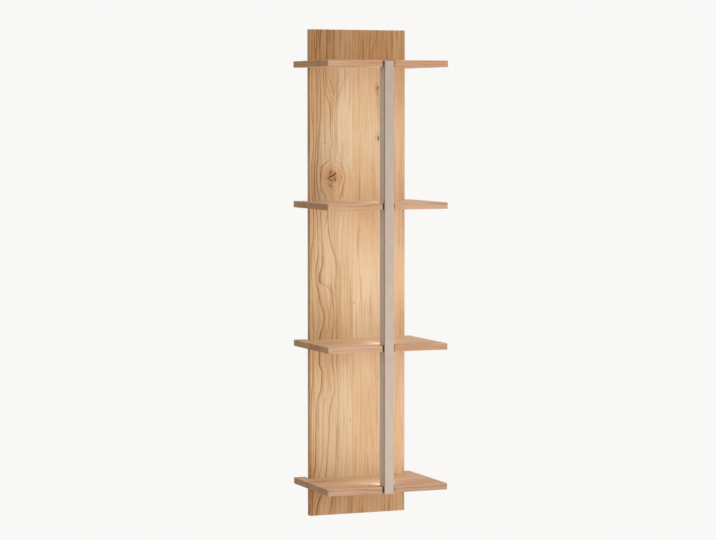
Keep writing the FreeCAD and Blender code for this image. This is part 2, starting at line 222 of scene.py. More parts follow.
# Tones that multiply the wood's colour. The top-end tone is painted shade on the panel's front above the top
# shelf, and the side tint colours the painted shade on the long narrow edge faces
LEFT_TONE = (0.95, 0.95, 0.95, 1.0)
CLOSE_TONE = (1.02, 1.015, 1.005, 1.0)
EYE_TONE = (1.04, 0.925, 0.80, 1.0)
# Painted shade on the panel's front above the top shelf
UPPER_SHADE_TONE = (0.93, 0.90, 0.86, 1.0)
END_TONE = (0.61, 0.58, 0.57, 1.0)
# Tint of the painted shade on the long narrow edge faces
SIDE_SHADE_TINT = (1.0, 0.99, 1.02)

# Noise that runs with the grain: stretch across, in depth and along, then scale, detail and roughness
BEND = ((3.5, 2.0, 3.0), 1.0, 3.0, 0.45)
SWAY = ((12.0, 4.0, 1.4), 1.0, 2.0, 0.5)
RIPPLE = ((30.0, 12.0, 9.0), 1.0, 2.0, 0.5)
FADE = ((25.0, 10.0, 6.0), 1.0, 2.0, 0.5)
DASH = ((1.0, 1.0, 0.028), 1500.0, 1.0, 0.5)
STREAK = ((1.0, 1.0, 0.035), 130.0, 3.0, 0.6)
CLOUD = ((1.0, 0.6, 0.30), 9.0, 3.0, 0.55)
FLECK = ((0.6, 2.0, 0.12), 420.0, 1.0, 0.5)
DOTS = ((1.0, 1.0, 0.2), 1100.0, 1.0, 0.5)

# Where each of them begins to show and shows in full
FADE_RANGE = (0.30, 0.66)
DASH_RANGE = (0.60, 0.72)
STREAK_RANGE = (0.48, 0.78)
CLOUD_RANGE = (0.30, 0.72)
FLECK_RANGE = (0.66, 0.78)
DOTS_RANGE = (0.55, 0.70)
RUB_RANGE = (0.42, 0.62)

# Shares of colour
WARM_SHARE, WARM_LEAST = 0.7, 0.15
# The second share darkens the streaks beyond the panel's ends: painted shade
STREAK_SHARE, STREAK_END_SHADE = 0.45, 0.3
FLECK_SHARE = 0.30
FINE_SHARE = 0.10
LINE_MOST = 0.85
PORE_SHARE, PORE_LEAST = 0.65, 0.35
PORE_MIX = 0.50
KNOT_SHARE = 0.62
GLUE_SHARE = 0.35
END_SHARE = 0.85
DOT_SHARE = 0.30
RUB_SHARE = 0.25

# Columns of looks, and how far the noise moves on from one stave to the next
PITH_ACROSS, PITH_DEEP, WILD, DARK, RED, GREEN, BLUE = range(7)
STAVE_STEP = 7.3

# Rings: distance from one to the next, number of the first, and how fast a line fades within its ring
RING_STEP = 0.0072
RING_START = 20
RING_RATE = 8.0
RING_SWAY, RING_RIPPLE = 0.014, 0.006
FINE_STEP = 0.0019

# Rings between given lines: how far outside the board they begin, and how wide a line is
GRAIN_MARGIN = 0.008
GRAIN_WIDTH = 0.0019
GRAIN_SWAY, GRAIN_RIPPLE = 0.002, 0.004

# Lines: least weight, soft start, tail, and how much stronger they are where rings lie close, and beyond the
# ends, where the stronger lines are painted shade
LINE_LEAST = 0.22
LINE_START = 0.45
TAIL_POWER, TAIL_SHARE = 1.6, 0.18
FADE_SHARE = 0.6
CLOSE_LINES, END_SHADE_LINES = 1.3, 0.95
WEIGHT_STEP = 3.1
NEAR_RING = (0.4, 0.6)

# Zones: facing of the front that takes painted shade beyond the ends, soft borders of that painted shade and
# its share below the bottom end, and the waved border of the close rings
FRONT_FACING = (-0.7, -0.3)
END_SOFT = 0.008
UNDER_SHADE_SHARE = 0.75
WAVE_SCALE, WAVE_REACH = 5.0, 0.03
LEFT_SOFT = 0.035
SQUARE_ON = (0.55, 0.85)

# Knots: KNOT_TURN is the least push with which rings turn about a knot. Such a knot is longer below its
# middle, by KNOT_DROP, and pointed there.
KNOT_TURN = 0.01
KNOT_RATE = 3.5
KNOT_DROP = 1.55
KNOT_POINT = 1.35
KNOT_CORE = (0.22, 0.62)
KNOT_RIM = (0.85, 1.0)
WOBBLE_SCALE, WOBBLE_DEPTH = 55.0, 0.3
HILL_WOBBLE, CORE_WOBBLE = 0.2, 0.55
EYE_RIM = (0.80, 1.08)
EYE_CLOSE = 0.35

# Single marks: how ragged they are, and the share of their half width that is fully dark
RAGGED_SCALE = 240.0
CRACK_RAGGED, CRACK_CORE = 0.0026, 0.4
STROKE_RAGGED, STROKE_CORE = 0.0012, 0.2

GLUE_RANGE = (0.0002, 0.0009)
RUB_WIDTH = 0.0024
RUB_NOISE = (38.0, 3.0, 0.65)

# Relief: depth of each kind of hollow, then height and strength of the whole
PORE_DEPTH, LINE_DEPTH, DOT_DEPTH, CRACK_DEPTH = 0.7, 0.35, 0.5, 0.5
OAK_RELIEF, OAK_STRENGTH = 0.00035, 0.55

# Roughness of the oiled wood, what changes it, and its shine
OAK_ROUGH = 0.50
CLOUD_ROUGH, PORE_ROUGH, END_ROUGH, RUB_SMOOTH = 0.10, 0.18, 0.12, 0.08
OAK_SHINE = 0.12


class Oak(Graph):
    """Wood of a board of glued staves, made step by step by the function oak."""

    def __init__(self, name, along_x, borders, looks, seed):
        super().__init__(name)
        self.borders = borders
        self.looks = looks
        if along_x:
            self.along, self.across, self.deep = self.x, self.y, self.z
            self.end_facing, self.side_facing = self.facing[0], self.facing[1]
        else:
            self.along, self.across, self.deep = self.z, self.x, self.y
            self.end_facing, self.side_facing = self.facing[2], self.facing[0]
        self.steps = [self.math("GREATER_THAN", self.across, border) for border in borders]
        self.stave = seed
        for step in self.steps:
            self.stave = self.stave + step * STAVE_STEP
        self.shift = self.along + self.stave
        self.painted_end_shade = self.close = 0.0
        self.crack_spot = self.dark_spot = self.inside = None

    def pick(self, column):
        """A column of looks, stave by stave."""
        total = self.looks[0][column]
        for step, low, high in zip(self.steps, self.looks, self.looks[1:]):
            if high[column] != low[column]:
                total = total + step * (high[column] - low[column])
        return total

    def figure(self, stretch, scale, detail, rough):
        """Noise that runs with the grain."""
        places = (self.across, self.deep, self.shift)
        return self.noise(*[place * share for place, share in zip(places, stretch)], scale, detail, rough)

    def zones(self, ends, dense):
        """Finds painted shade on the front beyond the ends, and the side where the rings lie close."""
        if ends is not None:
            low, high = ends
            front = 1 - self.rise(self.facing[1], *FRONT_FACING)
            # Painted shade on the front above the top end, and a weaker share of it below the bottom end
            self.upper = self.rise(self.along, high - END_SOFT, high + END_SOFT) * front
            under = 1 - self.rise(self.along, low - END_SOFT, low + END_SOFT)
            self.painted_end_shade = self.upper + under * front * UNDER_SHADE_SHARE
        if dense is not None:
            wave = self.noise(0.0, 0.0, self.along, WAVE_SCALE) - 0.5
            self.waved = self.across + wave * WAVE_REACH
            self.close = 1 - self.rise(self.waved, *dense)

    def rings(self, box, grain):
        """Lays rings about the pith line, or between the main lines that are given."""
        bend = self.figure(*BEND) - 0.5
        beside = self.across - self.pick(PITH_ACROSS) + bend * self.pick(WILD)
        below = self.deep - self.pick(PITH_DEEP)
        self.radius = (beside ** 2.0 + below ** 2.0) ** 0.5
        sway = self.figure(*SWAY) - 0.5
        ripple = self.figure(*RIPPLE) - 0.5
        self.radius = self.radius + sway * RING_SWAY + ripple * RING_RIPPLE
        self.rate = RING_RATE
        if not grain:
            return
        lines = [box[0][0] - GRAIN_MARGIN]
        for _, _, points in grain[:-1]:
            lines.append(self.path(self.along, [(MM * a, MM * b) for a, b in points]))
        lines.append(self.borders[0])
        passed = [1.0] + [self.math("GREATER_THAN", self.across, line) for line in lines[1:]]
        drawn = sway * GRAIN_SWAY + ripple * GRAIN_RIPPLE
        pitch = 0.0
        for number, (count, _, _) in enumerate(grain):
            left, right = lines[number:number + 2]
            limits = {"Value": self.across, "From Min": left, "From Max": right}
            drawn = drawn + self.add("ShaderNodeMapRange", limits) * (count * RING_STEP)
            pitch = pitch + (passed[number] - passed[number + 1]) * ((right - left) / count)
        self.radius = drawn + self.steps[0] * (self.radius - drawn)
        rate = pitch / GRAIN_WIDTH
        self.rate = rate + self.steps[0] * (RING_RATE - rate)

    def warm_eye(self, eye):
        """Finds the warm wood about the largest knot, where rings lie closer."""
        middle_across, middle_along, wide, tall = eye
        aside, above = (self.across - middle_across) / wide, (self.along - middle_along) / tall
        self.inside = 1 - self.rise((aside ** 2.0 + above ** 2.0) ** 0.5, *EYE_RIM)
        self.close = self.math("MAXIMUM", self.close, self.inside * EYE_CLOSE)

    def mark(self, row, unevenness, core):
        """One crack or stroke: how dark it is in its middle, 0 beside it."""
        dark, half, points = row
        gap = self.stroke(self.along, self.across, points) + self.ragged * unevenness
        return (1 - self.rise(gap, MM * core * half, MM * half)) * dark

    def most(self, first, second):
        """The greater of two spots, of which the first may be missing."""
        return second if first is None else self.math("MAXIMUM", first, second)

    def cracks(self, rows):
        """Collects the dark cracks."""
        self.ragged = self.noise(self.across, self.deep, self.along, RAGGED_SCALE) - 0.5
        for row in rows:
            self.crack_spot = self.most(self.crack_spot, self.mark(row, CRACK_RAGGED, CRACK_CORE))

    def knots(self, rows):
        """Bends the rings about knots and collects their dark wood."""
        wobble = self.noise(self.across, self.deep * WOBBLE_DEPTH, self.along, WOBBLE_SCALE) - 0.5
        for middle_across, middle_along, wide, tall, push, dark in rows:
            aside, above = abs(self.across - middle_across) / wide, (self.along - middle_along) / tall
            if push > KNOT_TURN:
                under = self.math("LESS_THAN", above, 0.0)
                above = abs(above) * (1 + under * (1 / KNOT_DROP - 1))
                power = 2.0 + under * (KNOT_POINT - 2.0)
                off = (aside ** power + above ** power) ** (1 / power)
            else:
                off = (aside ** 2.0 + above ** 2.0) ** 0.5
            if push:
                hill = self.math("MAXIMUM", 1 - (off + wobble * HILL_WOBBLE) ** 2.0, 0.0) ** 2.0
                self.radius = self.radius + push * hill
            off = off + wobble * CORE_WOBBLE
            self.dark_spot = self.most(self.dark_spot, (1 - self.rise(off, *KNOT_CORE)) * dark)
            if push > KNOT_TURN:
                self.rate = self.rate + (1 - self.rise(off, *KNOT_RIM)) * (KNOT_RATE - self.rate)

    def lines(self, grain, strokes):
        """Draws the dark line of each ring, and the single strokes."""
        turns = self.radius / RING_STEP + RING_START
        ring = self.math("FLOOR", turns)
        within = self.math("FRACT", turns)
        weight = self.chance(ring + self.stave * WEIGHT_STEP) ** 2.0
        count = RING_START
        for rings, dark, _ in grain[:-1]:
            count += rings
            near = (1 - self.rise(abs(ring - count), *NEAR_RING)) * (1 - self.steps[0])
            weight = weight + near * (dark - weight)
        fade = self.rise(self.figure(*FADE), *FADE_RANGE)
        late = self.math("EXPONENT", within * self.rate * -1.0) + ((1 - within) ** TAIL_POWER) * TAIL_SHARE
        line = late * self.rise(within * self.rate, 0.0, LINE_START) * (weight + LINE_LEAST)
        line = line * (fade * FADE_SHARE + (1 - FADE_SHARE))
        # Beyond the ends the lines are drawn stronger as painted shade
        line = line * (self.pick(DARK) + self.close * CLOSE_LINES + self.painted_end_shade * END_SHADE_LINES)
        for row in strokes:
            mark = self.mark(row, STROKE_RAGGED, STROKE_CORE)
            line = self.math("MAXIMUM", line, mark) if row[0] > 0 else line * (1 + mark)
        self.line = line

    def colours(self, dense):
        """Colour of the lines, pores, flecks and knots, and then the tone of each stave and zone."""
        fine = (1 - self.math("FRACT", self.radius / FINE_STEP)) ** 2.0
        self.pores = self.rise(self.figure(*DASH), *DASH_RANGE) * (PORE_LEAST + self.line * PORE_SHARE)
        streak = self.figure(*STREAK)
        self.cloud = self.figure(*CLOUD)
        fleck = self.rise(self.figure(*FLECK), *FLECK_RANGE)

        colour = self.mix(self.rise(self.cloud, *CLOUD_RANGE) * WARM_SHARE + WARM_LEAST, OAK_PALE, OAK_WARM)
        # Beyond the ends the streaks are darker as painted shade
        streaks = self.rise(streak, *STREAK_RANGE) * (STREAK_SHARE + self.painted_end_shade * STREAK_END_SHADE)
        colour = self.mix(streaks, colour, OAK_LINE)
        colour = self.mix(fleck * FLECK_SHARE, colour, OAK_FLECK)
        colour = self.mix(fine * FINE_SHARE, colour, OAK_LINE)
        colour = self.mix(self.math("MINIMUM", self.line, LINE_MOST), colour, OAK_LINE)
        colour = self.mix(self.pores * PORE_MIX, colour, OAK_PORE)
        if self.dark_spot is not None:
            colour = self.mix(self.dark_spot * KNOT_SHARE, colour, KNOT_WOOD)
        if self.crack_spot is not None:
            colour = self.mix(self.crack_spot, colour, KNOT_CRACK)

        tone = self.vector(self.pick(RED), self.pick(GREEN), self.pick(BLUE))
        colour = self.mix(1.0, colour, tone, "MULTIPLY")
        if dense is not None:
            left = 1 - self.rise(self.waved, dense[1] - LEFT_SOFT, dense[1])
            colour = self.mix(left, colour, LEFT_TONE, "MULTIPLY")
            colour = self.mix(self.close, colour, CLOSE_TONE, "MULTIPLY")
        if self.inside is not None:
            colour = self.mix(self.inside, colour, EYE_TONE, "MULTIPLY")
        return colour


def oak(name, box, along_x, borders, looks, grain=(), knots=(), cracks=(), strokes=(), eye=None, ends=None,
        dense=None, side_shade=1.0, seed=0.0):
    """Oak board of glued staves.

    borders are the glue lines across the board, and looks has one row for each stave: place of the pith
    across and its depth, how wild the rings are, strength of the dark lines, and the stave's colour. grain
    gives the first stave's main lines instead, from its outer side inwards: number of rings up to the line,
    how dark it is, and its (along, across) points in millimetres, with the rings up to the glue line as the
    last row. knots are (across, along, half width, half height, push, dark), and eye is the place and half
    size of the warm wood about the largest. cracks and strokes are single marks: how dark they are, half
    width in millimetres and (along, across) points. A stroke below zero makes the lines under it paler.
    ends are the heights below and above which painted shade darkens the board's front, with stronger lines and
    streaks, and dense is where, going across, the close dark rings give way to the pale middle of the board.
    The tone given for the long narrow edge faces is painted shade on them, 1 for none.
    """
    g = Oak(name, along_x, borders, looks, seed)
    g.zones(ends, dense)
    g.rings(box, grain)
    if eye is not None:
        g.warm_eye(eye)
    if cracks or strokes:
        g.cracks(cracks)
    if knots:
        g.knots(knots)
    g.lines(grain, strokes)
    colour = g.colours(dense)
    for border in borders:
        glue = 1 - g.rise(abs(g.across - border), *GLUE_RANGE)
        colour = g.mix(glue * GLUE_SHARE, colour, OAK_PORE)
    # Painted shade on the front above the top end
    if ends is not None:
        colour = g.mix(g.upper, colour, UPPER_SHADE_TONE, "MULTIPLY")

    # End grain drinks in the oil and is darker; edges are rubbed a little paler
    end = g.rise(abs(g.end_facing), *SQUARE_ON)
    dots = g.rise(g.figure(*DOTS), *DOTS_RANGE)
    colour = g.mix(end * END_SHARE, colour, END_TONE, "MULTIPLY")
    # Painted shade on the long narrow edge faces
    if side_shade < 1.0:
        side = g.rise(abs(g.side_facing), *SQUARE_ON)
        colour = g.mix(side, colour, (*[side_shade * tint for tint in SIDE_SHADE_TINT], 1.0), "MULTIPLY")
    colour = g.mix(end * dots * DOT_SHARE, colour, OAK_PORE)
    rubbed = g.edge(box, RUB_WIDTH) * g.rise(g.noise(g.x, g.y, g.z, *RUB_NOISE), *RUB_RANGE)
    colour = g.mix(rubbed * RUB_SHARE, colour, OAK_FLECK)

    height = 1 - g.pores * PORE_DEPTH - g.line * LINE_DEPTH - end * dots * DOT_DEPTH
    if g.crack_spot is not None:
        height = height - g.crack_spot * CRACK_DEPTH
    rough = OAK_ROUGH + g.cloud * CLOUD_ROUGH + g.pores * PORE_ROUGH + end * END_ROUGH - rubbed * RUB_SMOOTH
    return g.finish(Base_Color=colour, Roughness=rough, Normal=g.bump(height, OAK_RELIEF, OAK_STRENGTH),
                    Specular_IOR_Level=OAK_SHINE)


# Panel: a wild left stave with a large knot, a quiet right one and a narrow warm one at the edge.
PANEL_BORDERS = (-0.0174, 0.1210)
PANEL_LOOKS = (
    (0.330, -0.020, 0.040, 0.75, 0.92, 0.91, 0.90),
    (0.330, -0.020, 0.040, 0.75, 0.97, 0.95, 0.95),
    (0.420, 0.030, 0.024, 0.75, 1.02, 0.99, 0.98),
)
PANEL_GRAIN = (
    (1, 0.5, ((224, -156), (-17, -158), (-127, -152), (-206, -158), (-253, -158), (-427, -152), (-490, -161),
              (-600, -156), (-854, -154), (-934, -160), (-1332, -163))),
    (2, 0.9, ((224, -140), (186, -140), (124, -145), (77, -142), (-64, -140), (-253, -149), (-392, -139),
              (-490, -137), (-537, -144), (-563, -144), (-601, -138), (-658, -125), (-674, -119), (-690, -117),
              (-709, -120), (-747, -132), (-779, -135), (-830, -135), (-868, -126), (-894, -126), (-928, -131),
              (-976, -143), (-1141, -146), (-1199, -153), (-1333, -159))),
    (2, 0.9, ((224, -128), (124, -131), (-2, -128), (-247, -141), (-313, -133), (-513, -125), (-557, -133),
              (-571, -133), (-581, -129), (-591, -107), (-602, -98), (-615, -90), (-634, -87), (-698, -83),
              (-749, -90), (-793, -91), (-908, -81), (-931, -81), (-946, -88), (-991, -97), (-1191, -111),
              (-1289, -140), (-1333, -148))),
    (2, 0.85, ((224, -106), (171, -106), (124, -111), (86, -118), (46, -116), (17, -112), (2, -103), (-39, -94),
              (-96, -94), (-146, -91), (-162, -94), (-186, -94), (-192, -101), (-197, -111), (-204, -120),
              (-214, -126), (-253, -129), (-304, -116), (-355, -106), (-428, -100), (-482, -84), (-542, -74),
              (-596, -77), (-698, -73), (-800, -74), (-937, -69), (-985, -69), (-1177, -80), (-1257, -89),
              (-1336, -102))),
    (2, 0.4, ((225, -94), (130, -98), (93, -102), (64, -98), (11, -82), (-128, -80), (-181, -84), (-192, -77),
              (-200, -65), (-213, -55), (-230, -50), (-251, -48), (-273, -50), (-344, -75), (-387, -82),
              (-492, -76), (-549, -67), (-654, -67), (-698, -65), (-762, -66), (-890, -61), (-986, -61),
              (-1066, -63), (-1194, -71), (-1337, -87))),
    (1, 0.3, ((225, -82), (171, -86), (130, -84), (84, -47), (62, -50), (24, -69), (5, -74), (-80, -76),
              (-115, -72), (-153, -71), (-178, -66), (-210, -42), (-229, -31), (-251, -27), (-277, -29),
              (-302, -37), (-355, -61), (-387, -68), (-463, -74), (-492, -72), (-523, -66), (-571, -62),
              (-635, -62), (-890, -50), (-1018, -50), (-1082, -52), (-1210, -61), (-1338, -66))),
    (3, 0.0, ()),
)
PANEL_KNOTS = (
    (-0.0885, -0.2460, 0.037, 0.046, 0.043, 0.75),
    (-0.0865, -0.2750, 0.016, 0.011, 0.0, 0.55),
    (0.0670, -0.1200, 0.016, 0.032, 0.006, 0.30),
    (0.0650, 0.0350, 0.016, 0.042, 0.006, 0.35),
    (-0.0127, -0.6447, 0.006, 0.007, 0.0, 1.0),
    (-0.0722, -0.7000, 0.005, 0.006, 0.0, 1.0),
    (-0.0268, -1.0177, 0.008, 0.010, 0.0, 0.6),
    (-0.1113, -0.1362, 0.005, 0.008, 0.0, 0.8),
    (-0.0519, -0.2459, 0.004, 0.004, 0.0, 0.8),
)
PANEL_CRACKS = (
    (1.00, 2.7, ((-243, -95), (-241, -85), (-238, -81), (-231, -75))),
    (0.75, 2.4, ((-250, -102), (-244, -96))),
    (0.75, 2.4, ((-247, -80), (-251, -74), (-258, -78))),
    (0.60, 2.4, ((-250, -97), (-255, -92), (-254, -86))),
    (0.75, 2.4, ((-228, -93), (-236, -95))),
    (0.45, 3.5, ((-270, -97), (-273, -91))),
    (0.95, 2.6, ((40, 70), (33, 67))),
    (0.40, 2.0, ((16, 68), (11, 68))),
    (1.00, 2.6, ((-118, 70), (-128, 71))),
)
PANEL_STROKES = (
    (-0.75, 15.0, ((-160, -92), (-183, -90))),
    (0.40, 3.0, ((64, -95), (16, -82))),
    (0.28, 2.6, ((55, -71), (19, -79))),
    (0.16, 5.0, ((87, -35), (38, -55), (2, -65))),
    (0.40, 2.6, ((-352, -103), (-393, -108))),
    (0.50, 3.2, ((-415, -101), (-463, -89), (-483, -82))),
    (0.35, 2.6, ((-552, -74), (-573, -79), (-599, -79))),
    (0.40, 2.6, ((-581, -98), (-610, -82), (-625, -80))),
    (0.45, 3.0, ((214, -78), (185, -84), (154, -86), (126, -86))),
    (0.35, 2.6, ((202, 11), (171, 11), (133, 8))),
    (0.35, 2.4, ((193, 64), (168, 54), (133, 42))),
    (0.30, 2.4, ((206, 47), (180, 40), (155, 40))),
    (0.35, 2.8, ((-632, -88), (-671, -82), (-703, -81), (-750, -87))),
    (0.32, 2.8, ((-664, -97), (-728, -98))),
    (0.32, 2.8, ((-634, -155), (-722, -156))),
)
# Heights below and above which painted shade darkens the panel's front
PANEL_SHADE_ENDS = (-1.210, 0.110)
PANEL_DENSE = (-0.150, -0.050)
# Painted shade on the panel's long narrow edge faces
PANEL_SIDE_SHADE = 0.82
PANEL_SEED = 12.4
PANEL_EYE = (-0.0757, -0.2571, 0.0543, 0.0616)
dress("back_panel", oak("oak_panel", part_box("back_panel"), False, PANEL_BORDERS, PANEL_LOOKS, PANEL_GRAIN,
                        PANEL_KNOTS, PANEL_CRACKS, PANEL_STROKES, PANEL_EYE, PANEL_SHADE_ENDS, PANEL_DENSE,
                        PANEL_SIDE_SHADE, PANEL_SEED))

# Shelves: grain from side to side, each cut from other staves. Glue lines, seed, gain of colour, and painted
# shade on the front and rear edges, darker on the lower shelves.
SHELVES = {
    "shelf_top": ((-0.205, -0.098), 11.0, 1.10, 0.97),
    "shelf_upper": ((-0.176, -0.082), 23.0, 1.06, 0.95),
    "shelf_lower": ((-0.222, -0.121), 37.0, 1.08, 0.84),
    "shelf_bottom": ((-0.188, -0.105), 53.0, 1.07, 0.76),
}
SHELF_PITHS = ((-0.34, 0.030), (-0.12, -0.050), (0.08, 0.036))
SHELF_COLOURS = ((0.90, 0.87, 1.00), (0.90, 0.89, 0.95), (0.90, 0.91, 0.90))
SHELF_WILD = 0.045
SHELF_DARK = 1.35
SHELF_STREAKS = {"shelf_lower": ((-0.205, -0.030, 0.0025, 0.020, 0.0, 0.9),)}
for node, (borders, seed, gain, front) in SHELVES.items():
    low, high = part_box(node)
    middle = (low.z + high.z) / 2
    looks = [(across, middle + below, SHELF_WILD, SHELF_DARK, *[share * gain for share in colour])
             for (across, below), colour in zip(SHELF_PITHS, SHELF_COLOURS)]
    # The front and rear edges take painted shade
    dress(node, oak("oak_" + node, (low, high), True, borders, looks, knots=SHELF_STREAKS.get(node, ()),
                    side_shade=front, seed=seed))


# Cleats and dowels: planed beech
BEECH_PALE = srgb(222, 184, 142)
BEECH_WARM = srgb(204, 160, 116)
BEECH_GRAIN = srgb(176, 128, 86)
BEECH_FLECK = srgb(140, 94, 60)
BEECH_EDGE = srgb(232, 202, 164)


def beech(name, box, seed):
    """Planed beech with its short dark flecks."""
    g = Graph(name)
    shift = g.x + seed
    cloud = g.noise(g.y, g.z, shift * 0.2, 14.0, 3.0)
    grain = g.noise(g.y, g.z, shift * 0.03, 420.0, 2.0)
    fleck = g.rise(g.noise(g.y, g.z, shift * 0.11, 700.0, 1.0), 0.62, 0.72)
    colour = g.mix(cloud, BEECH_PALE, BEECH_WARM)
    colour = g.mix(g.rise(grain, 0.5, 0.8) * 0.35, colour, BEECH_GRAIN)
    colour = g.mix(fleck * 0.55, colour, BEECH_FLECK)
    colour = g.mix(g.edge(box, 0.003) * 0.3, colour, BEECH_EDGE)
    rough = 0.55 + grain * 0.15
    return g.finish(Base_Color=colour, Roughness=rough, Normal=g.bump(grain - fleck * 0.4, 0.0002, 0.5))


for number, node in enumerate(("wall_cleat", "hanging_cleat", "shelf_dowels")):
    dress(node, beech("beech_" + node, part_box(node), 3.0 * number))


# Spine: greige powder coat. Painted shade inside each shelf's notch and along the groove behind the cover:
# how dark the notch shade is in each notch, where the notch begins, and where the painted groove shade ends.
COAT_LOW = srgb(193, 175, 161)
COAT_HIGH = srgb(199, 182, 169)
COAT_GRIT = srgb(168, 150, 134)
COAT_RUB = srgb(226, 214, 202)
COAT_SHADOW = srgb(54, 38, 27)
NOTCH_SHADE = {"shelf_top": 0.45, "shelf_upper": 0.8, "shelf_lower": 0.8, "shelf_bottom": 0.8}
NOTCH_FRONT = -0.2990
NOTCH_SOFT = 0.001
GROOVE_END = -0.2996
GROOVE_SOFT = 0.0003
GROOVE_SHADE = 0.8


def powder_coat(name, box, grooved):
    """Fine-texture powder coat, with painted shade in the shadow line and inside the notches."""
    g = Graph(name)
    grit = g.noise(g.x, g.y, g.z, 1700.0, 2.0, 0.6)
    peel = g.noise(g.x, g.y, g.z, 330.0, 2.0)
    mottle = g.noise(g.x, g.y, g.z * 0.45, 60.0, 4.0, 0.6)
    colour = g.mix(g.rise(mottle, 0.30, 0.70), COAT_LOW, COAT_HIGH)
    colour = g.mix(g.rise(grit, 0.52, 0.74) * 0.35, colour, COAT_GRIT)
    rub = g.edge(box, 0.0016) * g.rise(g.noise(g.x, g.y, g.z, 45.0, 3.0), 0.45, 0.62)
    colour = g.mix(rub * 0.35, colour, COAT_RUB)
    # Painted shade along the groove behind the cover and inside each notch
    painted_shade = 0.0
    if grooved:
        painted_shade = (1 - g.rise(g.y, GROOVE_END - GROOVE_SOFT, GROOVE_END)) * GROOVE_SHADE
    for node, shade in NOTCH_SHADE.items():
        low, high = [corner.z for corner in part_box(node)]
        level = g.rise(g.z, low - NOTCH_SOFT, low + NOTCH_SOFT)
        level = level * (1 - g.rise(g.z, high - NOTCH_SOFT, high + NOTCH_SOFT))
        notch = level * g.rise(g.y, NOTCH_FRONT - NOTCH_SOFT, NOTCH_FRONT) * shade
        painted_shade = g.math("MAXIMUM", painted_shade, notch)
    colour = g.mix(painted_shade, colour, COAT_SHADOW)
    rough = 0.52 + grit * 0.14 - rub * 0.1
    return g.finish(Base_Color=colour, Roughness=rough, Normal=g.bump(grit * 0.5 + peel, 0.00012, 0.45),
                    Specular_IOR_Level=0.42)


for node in ("spine_profile", "spine_cover", "spine_cap_top", "spine_cap_bottom"):
    dress(node, powder_coat("coat_" + node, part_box(node), node == "spine_profile"))


# Light: strength and red share of each bay's cover, the other shares between two chips and how much more
# there is over a chip, the length over which the ends go dark, and how much weaker the middle is.
LED_BAYS = {"top": (26.5, 0.54), "middle": (26.0, 0.54), "bottom": (22.4, 0.52)}
LED_GREEN, LED_BLUE = 0.77, 0.98
LED_CHIP = (0.03, 0.03, 0.02)
LED_DARK = (0.02, 0.025, 0.03, 1.0)
LED_FADE = 0.030
LED_ENDS = 0.42
CHIP_PITCH = 0.016
OPAL_PALE = srgb(244, 240, 232)
OPAL_WARM = srgb(236, 230, 220)


def opal(name, box, light, red):
    """Lit opal cover: brighter towards its ends, with a faint beat from the chips behind it."""
    g = Graph(name)
    low, high = box
    beat = g.math("COSINE", (g.z - low.z) * (2 * math.pi / CHIP_PITCH)) * 0.5 + 0.5
    haze = g.noise(g.x, g.y, g.z, 240.0, 2.0)
    between = (red, LED_GREEN, LED_BLUE)
    chip = [share + more for share, more in zip(between, LED_CHIP)]
    glow = g.mix(beat * 0.5 + haze * 0.2, (*between, 1.0), (*chip, 1.0))
    half = (high.z - low.z) / 2
    off = abs(g.z - (low.z + high.z) / 2)
    gain = (off / half) ** 2.0 * LED_ENDS + (1 - LED_ENDS)
    glow = g.mix(1.0, glow, g.vector(gain, gain, gain), "MULTIPLY")
    glow = g.mix(g.rise(half - off, 0.0, LED_FADE), LED_DARK, glow)
    colour = g.mix(haze, OPAL_PALE, OPAL_WARM)
    return g.finish(Base_Color=colour, Roughness=0.45 + haze * 0.15, Emission_Color=glow,
                    Emission_Strength=light, Normal=g.bump(haze, 0.0001, 0.3))


for bay, (light, red) in LED_BAYS.items():
    dress("led_diffuser_" + bay, opal("opal_" + bay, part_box("led_diffuser_" + bay), light, red))


# Metal: how long the drawing marks are drawn out along z
DRAWN = 0.06


def metal(name, light, dark, brushing, rough):
    """Bare metal with drawing marks along z, smudges and a dull film in places."""
    g = Graph(name)
    marks = g.noise(g.x, g.y, g.z * DRAWN, brushing, 3.0, 0.6)
    film = g.noise(g.x, g.y, g.z, 70.0, 3.0, 0.6)
    colour = g.mix(g.rise(film, 0.35, 0.70), light, dark)
    colour = g.mix(g.rise(marks, 0.45, 0.75) * 0.3, colour, dark)
    return g.finish(Base_Color=colour, Metallic=1.0, Roughness=rough + film * 0.18 + marks * 0.08,
                    Normal=g.bump(marks, 0.00006, 0.4))


zinc = metal("zinc_steel", srgb(206, 208, 208), srgb(168, 170, 168), 900.0, 0.22)
for node in ("shelf_screws", "spine_bolts", "cleat_screws", "driver_screws"):
    dress(node, zinc)
dress("spine_sleeves", metal("plain_aluminium", srgb(220, 221, 222), srgb(190, 191, 193), 1100.0, 0.26))
dress("threaded_inserts", metal("insert_brass", srgb(214, 178, 104), srgb(172, 134, 70), 1000.0, 0.24))


def moulded(name, box, light, dark, rough, grit=2200.0, wear=(1.0, 1.0, 1.0, 1.0), shine=0.45):
    """Moulded plastic or rubber with a fine spark texture, faint flow marks and rubbed edges."""
    g = Graph(name)
    spark = g.noise(g.x, g.y, g.z, grit, 2.0, 0.6)
    flow = g.noise(g.x * 0.3, g.y * 0.3, g.z, 34.0, 3.0)
    dust = g.rise(g.noise(g.x, g.y, g.z, 120.0, 4.0, 0.7), 0.56, 0.74)
    colour = g.mix(flow, light, dark)
    colour = g.mix(g.rise(spark, 0.5, 0.75) * 0.2, colour, dark)
    colour = g.mix(g.edge(box, 0.0012) * 0.25 + dust * 0.06, colour, wear)
    return g.finish(Base_Color=colour, Roughness=rough + spark * 0.14 + dust * 0.08,
                    Normal=g.bump(spark, 0.00008, 0.5), Specular_IOR_Level=shine)


